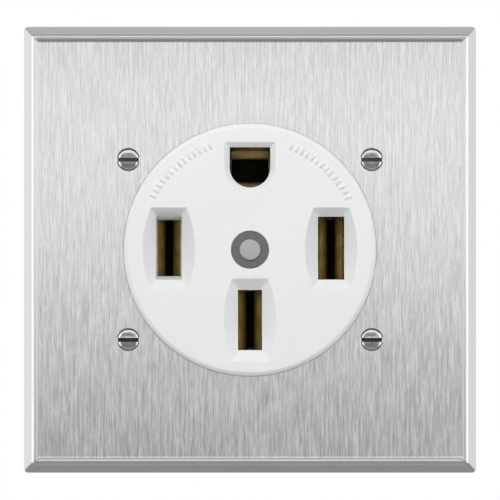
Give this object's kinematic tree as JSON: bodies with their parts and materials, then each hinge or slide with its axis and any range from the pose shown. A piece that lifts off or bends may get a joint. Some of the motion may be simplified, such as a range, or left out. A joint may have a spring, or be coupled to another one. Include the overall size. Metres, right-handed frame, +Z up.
{
  "type": "flush four-slot power receptacle with cover plate",
  "caption": "Flush straight-blade power receptacle: round white face with blade slots in a square brushed steel cover plate, on a strap with moulded body and terminals.",
  "frame": {"origin": "centre of the four box-screw slots on the strap's back face, which is the wall plane", "axes": "+X right and +Z up seen from the front, +Y into the wall; the face looks along -Y"},
  "size_m": [0.116, 0.0434, 0.1142],
  "materials": {
    "stainless_plate": "brushed vertically",
    "white_face": "satin moulded",
    "dark_body": "matte moulded",
    "galvanised_strap": "galvanised",
    "plated_screw": "bright plated",
    "dark_washer": "dark phosphated",
    "rivet_metal": "satin",
    "brass": "stamped sheet",
    "spring_steel": "bright rolled",
    "lug_metal": "drawn bar",
    "brass_screw": "turned",
    "silver_screw": "plated",
    "green_screw": "green dyed"
  },
  "bodies": {
    "root": {"body_screw_1": "plated_screw", "body_screw_2": "plated_screw", "body_screw_3": "plated_screw", "body_screw_4": "plated_screw", "bonding_strip": "brass", "centre_rivet": "rivet_metal", "front_housing": "white_face", "front_washer": "dark_washer", "ground_bar": "brass", "ground_contact": "brass", "ground_lug": "lug_metal", "ground_screw": "green_screw", "ground_spring": "spring_steel", "hot_left_bar": "brass", "hot_left_contact": "brass", "hot_left_lug": "lug_metal", "hot_left_screw": "brass_screw", "hot_left_spring": "spring_steel", "hot_right_bar": "brass", "hot_right_contact": "brass", "hot_right_lug": "lug_metal", "hot_right_screw": "brass_screw", "hot_right_spring": "spring_steel", "mounting_strap": "galvanised_strap", "neutral_bar": "brass", "neutral_contact": "brass", "neutral_lug": "lug_metal", "neutral_screw": "silver_screw", "neutral_spring": "spring_steel", "plate_screw_1": "plated_screw", "plate_screw_2": "plated_screw", "plate_screw_3": "plated_screw", "plate_screw_4": "plated_screw", "rear_cover": "dark_body", "rear_housing": "dark_body", "rear_washer": "galvanised_strap", "wall_plate": "stainless_plate"}
  },
  "joints": []
}
